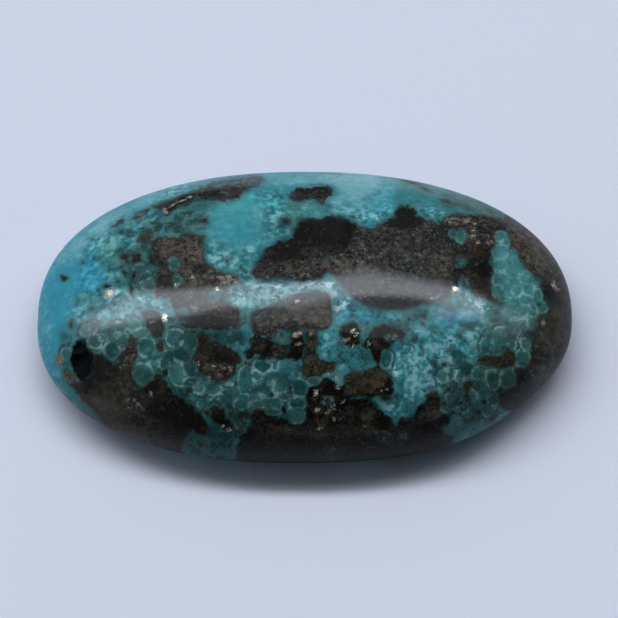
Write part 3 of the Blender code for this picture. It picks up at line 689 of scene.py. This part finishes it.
def sink_pit(points):
    """Lowers the points over the natural hollow onto its lobes' floors."""
    for along, across, half_x, half_y, depth in PIT_LOBES:
        middle = np.array([PIT_PLACE[0] + along, PIT_PLACE[1] + across])
        u, v = middle[0] / HALF_LENGTH, (middle[1] - MIDDLE_Y) / HALF_WIDTH
        share = abs(u) ** OUTLINE_POWER + abs(v) ** OUTLINE_POWER
        rise = math.sqrt(1 - share ** (2 / OUTLINE_POWER))
        top = np.array([middle[0], middle[1], GIRDLE_HEIGHT + DOME_HEIGHT * rise])
        outward = Vector((u / HALF_LENGTH, v / HALF_WIDTH, rise / DOME_HEIGHT)).normalized()
        turn = np.array(outward.to_track_quat("Z", "Y").to_matrix())
        local = (points - top) @ turn
        room = 1 - (local[:, 0] / half_x) ** 2 - (local[:, 1] / half_y) ** 2
        floor = -depth * np.sqrt(np.maximum(room, 0))
        inside = (room > 0) & (local[:, 2] > floor) & (local[:, 2] < depth)
        local[inside, 2] = floor[inside]
        points = np.where(inside[:, None], local @ turn.T + top, points)
    return points


def dent(points):
    """Presses the shallow dents into the dome and raises its swells, straight down or up."""
    px, py, _ = photo_place(points)
    for middle_x, middle_y, half_x, half_y, depth in DENTS:
        away = ((px - middle_x) / half_x) ** 2 + ((py - middle_y) / half_y) ** 2
        points[:, 2] -= np.where(points[:, 2] > GIRDLE_HEIGHT, depth * np.exp(-away), 0)
    return points


def stone_mesh():
    """The whole stone: dome grid, flank rings down from its border, and the flat back."""
    dome, quads = unit_dome()
    rim = rim_of_grid()
    count = len(rim)
    drop = math.acos(BACK_SHARE)
    rings, loops = [dome], [rim]
    for step in range(1, FLANK_RINGS + 1):
        below = drop * step / FLANK_RINGS
        ring = dome[rim] * math.cos(below)
        ring[:, 2] = -math.sin(below)
        loops.append(len(dome) + (step - 1) * count + np.arange(count))
        rings.append(ring)
    points = dent(sink_pit(on_stone(np.concatenate(rings))))
    points[loops[-1], 2] = 0.0
    walls = []
    for upper, lower in zip(loops[:-1], loops[1:]):
        walls.append(np.stack([upper, lower, np.roll(lower, -1), np.roll(upper, -1)], 1))
    faces = [tuple(q) for q in np.concatenate([quads] + walls).tolist()]
    faces.append(tuple(loops[-1][::-1].tolist()))
    mesh = bpy.data.meshes.new("stone_skin")
    mesh.from_pydata(points.tolist(), [], faces)
    mesh.validate()
    mesh.update()
    mesh.shade_smooth()
    paint_fields(mesh)
    return mesh


def add_object(name, data):
    item = bpy.data.objects.new(name, data)
    bpy.context.collection.objects.link(item)
    return item


def make_stone():
    stone = add_object("stone_skin", stone_mesh())
    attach(stone, "root")
    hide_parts("turquoise_stone")
    return stone


class Value:
    """A number, colour or place that nodes work out. The calls below lay further nodes on it."""

    def __init__(self, weave, socket):
        self.weave = weave
        self.socket = socket

    def math(self, operation, *others):
        return self.weave.node("Math", (self, *others), operation=operation)

    def __add__(self, other):
        return self.math("ADD", other)

    def __sub__(self, other):
        return self.math("SUBTRACT", other)

    def __rsub__(self, other):
        return self.weave.node("Math", (other, self), operation="SUBTRACT")

    def __mul__(self, other):
        return self.math("MULTIPLY", other)

    def scaled(self, times):
        """A colour or place, times a number."""
        return self.weave.node("VectorMath", {0: self, "Scale": times}, operation="SCALE")

    def step(self, low, high, start=0.0, end=1.0, curve="SMOOTHSTEP"):
        """Goes smoothly from start to end as this value goes from low to high."""
        return self.weave.node("MapRange", (self, low, high, start, end), interpolation_type=curve)

    def ramp(self, low, high, start=0.0, end=1.0):
        """Goes straight from start to end as this value goes from low to high."""
        return self.step(low, high, start, end, "LINEAR")

    def mix(self, first, second):
        """The first number where this share is 0, and the second where it is 1."""
        return self.weave.node("Mix", {0: self, 2: first, 3: second})

    def blend(self, first, second, kind="MIX"):
        """The first colour where this share is 0, and the second where it is 1."""
        looks = {"data_type": "RGBA", "blend_type": kind}
        return self.weave.node("Mix", {0: self, 6: first, 7: second}, 2, **looks)

    def mottled(self, ruffle, width):
        """This share, broken up by a noise where it is neither empty nor full."""
        room = self * (1.0 - self)
        return (self + ruffle * room * 3.6).step(0.5 - width, 0.5 + width)


class Weave:
    """Short calls for laying out a material's or the world's nodes."""

    def __init__(self, tree, coordinates, scale=1.0):
        self.tree = tree
        self.where = self.node("TexCoord", (), coordinates).scaled(scale)

    def put(self, socket, value):
        """Links a value to a socket, or sets the socket to a plain number or colour."""
        if isinstance(value, Value):
            self.tree.links.new(value.socket, socket)
        elif socket.type == "RGBA":
            socket.default_value = (*value, 1)
        else:
            socket.default_value = value

    def node(self, kind, inputs, output=0, **settings):
        """Lays a node with its settings and its inputs, by place or by name, and gives one output."""
        node = self.tree.nodes.new("ShaderNode" + kind)
        for name, value in settings.items():
            setattr(node, name, value)
        for key, value in inputs.items() if isinstance(inputs, dict) else enumerate(inputs):
            self.put(node.inputs[key], value)
        return Value(self, node.outputs[output])

    def axis(self, name):
        return self.node("SeparateXYZ", (self.where,), name)

    def moved(self, seed):
        """The place, moved along to another part of a noise."""
        along = (17.3 * seed, -9.1 * seed, 5.7 * seed)
        return self.node("VectorMath", (self.where, along), operation="ADD")

    def noise(self, scale, detail, seed, roughness=0.55):
        """A noise of the place, stretched to run from about -1 to 1."""
        inputs = {"Scale": scale, "Detail": detail, "Roughness": roughness, "Vector": self.moved(seed)}
        return (self.node("TexNoise", inputs, "Fac") - 0.5) * 4.0

    def fragments(self, scale, seed):
        """Irregular grains: a number that differs by grain, and 0 at their borders to 1 inside."""
        inputs = {"Scale": 2.0 * scale, "Detail": 2.0, "Vector": self.moved(seed)}
        bent = self.node("TexNoise", inputs, "Color")
        far = (0.8 / scale, 0.8 / scale, 0.8 / scale)
        place = self.node("VectorMath", (bent, far, self.moved(seed)), operation="MULTIPLY_ADD")
        inputs = {"Scale": scale, "Vector": place}
        cells = self.node("TexVoronoi", inputs, "Color")
        edges = self.node("TexVoronoi", inputs, "Distance", feature="DISTANCE_TO_EDGE")
        return self.node("SeparateColor", (cells,)), edges.step(0.0, 0.14)

    def field(self, name):
        return self.node("Attribute", (), "Fac", attribute_name=name)

    def seen(self, name, hidden=0.0):
        """A traced field where the photograph shows the stone, and a natural one elsewhere."""
        return self.field("front").mix(hidden, self.field(name))


def lump_parts(weave, noises):
    """Depth inside the rounded lumps, in pixels, and how much of a lump's parts a point is."""
    _, middling, edge, fine, _ = noises
    front = weave.field("front")
    depth = weave.field("lump") + edge * 1.2 + fine * 0.6 + middling * 1.2 + 0.9
    other = weave.field("next_lump") + edge * -1.2 + middling * 1.6 + 0.7
    border = depth.math("MINIMUM", depth * 0.7 + other * -0.7)
    here = depth.step(-1.0, 0.3) * front
    wide = middling * 0.8 + fine * -0.6 + 1.5
    line = border.step(-0.5, 0.6) * (border - wide).step(1.1, -0.9)
    uneven = (middling * 1.3 + fine * 1.1 + edge * -0.5).step(-0.8, 1.2, 0.1, 1.0)
    gap = depth.step(0.4, -1.2) * depth.step(-4.5, -2.0)
    gap = gap * (middling * 0.8 + edge * 0.8).step(-0.7, 0.4)
    return {
        "depth": front.mix(-9.0, depth), "here": here, "core": here * border.step(0.8, 3.2),
        "rim": here * line * uneven, "gap": gap * front,
    }


def turquoise_tones(weave, noises, ruffle, calm):
    """Cloudy blue turquoise, with its other tones over it."""
    broad, middling, edge, _, _ = noises
    cloud = ((middling * 0.7 + edge * 0.7) * calm).step(-1.1, 1.1)
    blues = cloud.blend((0.018, 0.235, 0.345), (0.050, 0.355, 0.440))
    greens = cloud.blend((0.042, 0.175, 0.160), (0.100, 0.300, 0.265))
    color = cloud.blend((0.034, 0.215, 0.250), (0.080, 0.335, 0.360))
    layers = (  # tone, share where the photo doesn't show the stone, border's width, strength, colour
        ("blue_tint", broad.step(0.1, -0.9), 0.40, 1.0, blues),
        ("green", broad.step(-0.4, 0.8), 0.42, 1.0, greens),
        ("bright", 0.0, 0.40, 1.0, (0.070, 0.360, 0.380)),
        ("dull", 0.0, 0.40, 1.0, (0.068, 0.165, 0.150)),
        ("deep", middling.step(0.4, 1.2), 0.38, 1.0, (0.020, 0.112, 0.118)),
        # Pale and white are partly the stone's own paler turquoise and whitish lines, and partly painted
        # highlight and painted reflection, as the shades' table says
        ("pale", middling.step(-0.5, -1.3), 0.42, 0.8, (0.230, 0.480, 0.520)),
        ("white", 0.0, 0.26, 1.0, (0.460, 0.620, 0.660)),
    )
    for tone, hidden, width, strength, tint in layers:
        share = weave.seen(tone, hidden).mottled(ruffle, width)
        color = (share * strength).blend(color, tint)
    return color


def lumps_over(weave, color, lumps):
    """The colour, with rounded lumps over it that have deep cores, pale rims and dark gaps."""
    number, bright = weave.field("lump_number"), weave.field("bright")
    cores = number.step(0.3, 0.9).blend((0.013, 0.078, 0.086), (0.038, 0.150, 0.134))
    deep_core = (number * 7.0).math("FRACT").step(0.0, 0.8, 0.35, 1.0) * (1.0 - bright)
    deep_core = deep_core * (1.0 - weave.field("white")) * (weave.field("pale") * -0.55 + 1.0)
    parts = (  # part, strength, colour
        ("here", 0.45, (0.065, 0.205, 0.185)), ("core", deep_core, cores),
        ("gap", 0.90, (0.020, 0.030, 0.020)), ("rim", 0.90, (0.270, 0.430, 0.390)),
    )
    for part, strength, tint in parts:
        color = (lumps[part] * strength).blend(color, tint)
    return color


def turquoise_color(weave, noises, ruffle, lumps):
    """Blue and green turquoise with rounded lumps, paler and deeper clouds and dark stains."""
    _, middling, edge, fine, grain = noises
    calm = weave.seen("calm").step(0.0, 1.0, 1.0, 0.18)
    color = lumps_over(weave, turquoise_tones(weave, noises, ruffle * calm, calm), lumps)
    plain = calm * (lumps["core"] * -0.7 + 1.0)
    uneven = (middling * 0.38 + edge * 0.36 + fine * 0.14 + grain * 0.05) * plain + 1.0
    color = color.scaled(uneven.math("MAXIMUM", 0.25))
    rough = weave.seen("rough", 0.4)
    stain = (middling * -1.1 + edge + fine * 0.25 + rough * 1.15).step(0.60, 1.45)
    stain = stain * weave.field("bright").step(0.2, 1.0, 0.80, 0.30) * (plain * 0.6 + calm * 0.4)
    color = stain.blend(color, (0.016, 0.045, 0.038))
    light = (middling + edge * 0.6 + fine * 0.15 + rough * 0.25).step(0.30, 1.3, 0.0, 0.60)
    return (light * plain).blend(color, (0.240, 0.420, 0.420))


def matrix_tones(weave, noises, ruffle):
    """Grey matrix, with its other tones over it."""
    broad, middling, _, _, _ = noises
    color = (0.036, 0.0345, 0.031)
    layers = (  # tone, share where the photo doesn't show the stone, colour
        ("brown", broad.step(0.5, 1.1), (0.038, 0.028, 0.020)),
        ("olive", 0.2, (0.037, 0.034, 0.020)),
        ("rust", 0.0, (0.036, 0.021, 0.010)),
        ("blue", 0.0, (0.055, 0.100, 0.108)),
        ("tan", 0.0, (0.080, 0.066, 0.052)),
        ("black", middling.step(0.3, 0.9), (0.0070, 0.0058, 0.0040)),
        ("beige", 0.0, (0.210, 0.185, 0.150)),
    )
    for tone, hidden, tint in layers:
        share = weave.seen(tone, hidden)
        color = (share if tone == "tan" else share.mottled(ruffle, 0.42)).blend(color, tint)
    return color


def matrix_color(weave, noises, ruffle):
    """Grey, black, brown and olive matrix, fine-grained, with beige crumbs."""
    _, middling, edge, fine, grain = noises
    which, inside = weave.fragments(1.7, 7.0)
    grainy = weave.seen("grainy", 0.5)
    stony = grainy.mix(1.0, which * 0.9 + inside * 0.6 + 0.05)
    calm = weave.seen("calm").step(0.0, 1.0, 1.0, 0.35)
    uneven = (middling * 0.40 + edge * 0.80 + fine * 0.70 + grain * 0.30) * calm + 1.06
    color = matrix_tones(weave, noises, ruffle).scaled(uneven.math("MAXIMUM", 0.15) * stony)
    lit = weave.seen("black").step(0.75, 0.25, 0.22, 1.0)
    grainy = grainy * lit
    warm = which.step(0.55, 0.95) * grainy
    plain = weave.field("tan") * -1.1 + weave.field("olive") * -0.9 + weave.field("brown") * -0.7 + 1.0
    plain = plain.math("MAXIMUM", 0.12) * lit
    speck = (grain * 0.40 + fine * 0.9 + edge * 0.5).step(0.60, 0.95) * plain * calm
    pock = (grain * -0.4 + fine * -0.6 + edge * -0.6).step(0.18, 0.60, 0.0, 0.75) * calm
    crumb = (fine + edge * 0.5).step(0.75, 1.35) * grainy
    color = (warm * 0.30).blend(color, (0.105, 0.092, 0.070))
    color = speck.blend(color, (0.200, 0.195, 0.175))
    color = pock.blend(color, (0.012, 0.011, 0.009))
    return (crumb * 0.5).blend(color, (0.130, 0.120, 0.095))


def stone_color(weave, noises):
    """The stone's colour, its share of matrix, and 1 where matrix would lie outside the traced outlines."""
    broad, middling, edge, fine, _ = noises
    ruffle = middling * 0.7 + edge + fine * 0.3
    lumps = lump_parts(weave, noises)
    blue = turquoise_color(weave, noises, ruffle, lumps)
    dark = matrix_color(weave, noises, ruffle)
    depth = weave.seen("matrix", broad * 9.0 + -1.5)
    loose = depth.step(-1.5, -4.0) * weave.field("front")
    depth = depth + edge * 2.0 + fine * 0.9
    depth = depth.math("MINIMUM", lumps["depth"] * -1.0 + 1.2)
    depth = depth.math("MAXIMUM", weave.field("pepper") * 9.0 + fine * 3.4 + edge * 3.6 + -10.2)
    is_dark = (depth * (middling + broad * 0.6).step(-0.6, 1.0, 0.45, 1.3)).step(-2.0, 1.7)
    fringe = depth.step(-6.0, 0.0) * ruffle.step(-0.9, 0.8)
    shore = depth.step(-3.4, -1.6) * depth.step(0.2, -1.2) * (fine * 0.7 + edge * 0.7).step(-0.3, 1.0)
    ink = depth.step(0.2, 1.6) * depth.step(4.6, 2.4) * (middling * 0.9 + fine * 0.7).step(-0.5, 0.7)
    blue = (fringe * 0.85).blend(blue, (0.030, 0.098, 0.082))
    blue = (shore * 0.65).blend(blue, (0.210, 0.360, 0.350))
    dark = (loose * 0.90).blend(dark, (0.010, 0.038, 0.040))
    dark = (ink * 0.65).blend(dark, (0.011, 0.010, 0.009))
    color = is_dark.blend(blue, dark)
    # The dim zones darken the colour: painted shade on the lower flank and bottom rim, darker tone elsewhere
    return weave.seen("dim").blend(color, (0.460, 0.450, 0.420), "MULTIPLY"), is_dark, loose


def new_material(name):
    """A new material, and its shader's inputs."""
    material = bpy.data.materials.new(name)
    material.use_nodes = True
    return material, material.node_tree.nodes["Principled BSDF"].inputs


def stone_material():
    material, shader = new_material("turquoise_in_matrix")
    weave = Weave(material.node_tree, "Object", 1 / MM)
    noises = (  # broad, middling, edge, fine and grain
        weave.noise(0.45, 3.0, 3.0), weave.noise(1.5, 2.0, 5.0), weave.noise(3.2, 1.5, 1.0, 0.5),
        weave.noise(7.0, 2.0, 2.0), weave.noise(15.0, 1.0, 4.0),
    )
    _, middling, edge, fine, grain = noises
    color, is_dark, loose = stone_color(weave, noises)
    front = weave.field("front")

    sparks = weave.node("TexVoronoi", {"Scale": 9.0, "Vector": weave.moved(6.0)}, "Distance")
    sparse = middling.step(0.2, 0.5) * (1.0 - loose) * weave.seen("black").step(0.3, 0.9, 1.0, 0.1)
    sparks = sparks.step(0.17, 0.09) * sparse * (is_dark * 0.45)
    fleck = weave.field("fleck") * front
    flecks = (fleck + grain * 1.1 + fine * 0.7).step(0.4, 0.6) * fleck.step(0.02, 0.12)
    pyrite = sparks.math("MAXIMUM", flecks)
    # Sparks take pyrite's dull brass; the traced flecks go up to near white, painted glints that shine from
    # every side
    color = pyrite.blend(color, fleck.blend((0.340, 0.310, 0.270), (1.000, 0.920, 0.740)))
    # The hollow: near black, and made metallic below so that it hardly reflects: painted shade
    pit = (weave.field("pit") + edge * 0.16 + fine * 0.10).step(0.30, 0.62) * front
    color = pit.blend(color, (0.007, 0.007, 0.008))

    low_flank = weave.axis("Z").step(4.8, 3.0)
    relief = {"Strength": 0.05, "Distance": 0.02 * MM, "Height": grain * 0.4 + fine * 0.5 + edge * 0.25}
    rough = fine * 0.02 + is_dark * -0.02 + pit * 0.3 + low_flank * 0.38 + 0.090
    weave.put(shader["Base Color"], color)
    weave.put(shader["Metallic"], pyrite * 0.3 + pit * 0.85)
    weave.put(shader["Roughness"], rough)
    weave.put(shader["Specular IOR Level"], 0.225)
    weave.put(shader["Normal"], weave.node("Bump", relief, "Normal"))
    return material


FLOOR_SIZE = 8.0
FLOOR_COLOR = (0.885, 0.88, 0.99, 1)
SKY_COLOR = (0.80, 0.90, 1.0)
LIGHT_COLOR = (0.86, 0.93, 1.0)
LIGHT_DISTANCE = 1.2
SOFTBOXES = (
    # name, lowest and highest elevation behind the stone in degrees, left and right ends as shares of the
    # distance, radiance
    ("key_strip", 59.4, 69.0, -1.00, 0.50, 8.75),
    ("key_left", 59.4, 69.0, -1.45, -1.00, 3.2),
    ("key_right", 59.4, 69.0, 0.50, 1.20, 2.6),
    ("key_shoulder", 69.0, 78.0, -1.40, 1.00, 1.4),
)


def make_floor():
    bpy.ops.mesh.primitive_plane_add(size=FLOOR_SIZE, location=(0, 0, 0))
    floor = bpy.context.object
    floor.name = "floor"
    material, shader = new_material("pale_floor")
    shader["Base Color"].default_value = FLOOR_COLOR
    shader["Roughness"].default_value = 0.7
    shader["Specular IOR Level"].default_value = 0.2
    floor.data.materials.append(material)


def make_softbox(name, low, high, left, right, radiance):
    middle, half = math.radians((low + high) / 2), math.radians((high - low) / 2)
    wide = (right - left) * LIGHT_DISTANCE
    tall = 2 * math.tan(half) * LIGHT_DISTANCE
    light = bpy.data.lights.new(name, "AREA")
    light.shape = "RECTANGLE"
    light.size, light.size_y = wide, tall
    light.energy = radiance * math.pi * wide * tall
    light.color = LIGHT_COLOR
    item = add_object(name, light)
    towards = Vector((0, math.cos(middle), math.sin(middle)))
    item.location = towards * LIGHT_DISTANCE + Vector(((left + right) / 2 * LIGHT_DISTANCE, 0, 0))
    item.rotation_euler = towards.to_track_quat("Z", "Y").to_euler()


def make_world():
    """A soft sky, brighter behind the stone and on the left, and dim near the horizon."""
    world = bpy.data.worlds.new("studio")
    bpy.context.scene.world = world
    world.use_nodes = True
    weave = Weave(world.node_tree, "Generated")
    x, y, z = (weave.axis(name) for name in "XYZ")
    from_left = x.ramp(0.0, -1.0, 0.0, 0.43) * y.ramp(-1.2, -0.3)
    strength = (y.ramp(-0.2, 1.0, 0.02, 0.40) + from_left) * z.ramp(0.0, 0.45, 0.12, 1.0)
    back = world.node_tree.nodes["Background"].inputs
    weave.put(back["Color"], SKY_COLOR)
    weave.put(back["Strength"], strength)


def make_camera():
    """Looks down on the stone so that the middle of its widest section falls on MIDDLE_PX."""
    data = bpy.data.cameras.new("camera")
    data.sensor_width = SENSOR_MM
    data.lens = SENSOR_MM * CAMERA_DISTANCE / (IMAGE_PX / PX_PER_MM * MM)
    data.clip_start, data.clip_end = 0.01, 20.0
    camera = add_object("camera", data)
    back, up = Vector(TO_CAMERA), Vector(CAMERA_UP)
    aim = Vector((0, 0, GIRDLE_HEIGHT))
    aim.x += (IMAGE_PX / 2 - MIDDLE_PX[0]) / PX_PER_MM * MM
    aim += up * (MIDDLE_PX[1] - IMAGE_PX / 2) / PX_PER_MM * MM
    camera.location = aim + back * CAMERA_DISTANCE
    camera.rotation_euler = back.to_track_quat("Z", "Y").to_euler()
    bpy.context.scene.camera = camera


stone = make_stone()
stone.data.materials.append(stone_material())
make_floor()
for softbox in SOFTBOXES:
    make_softbox(*softbox)
make_world()
make_camera()
bpy.context.scene.view_settings.view_transform = "Standard"
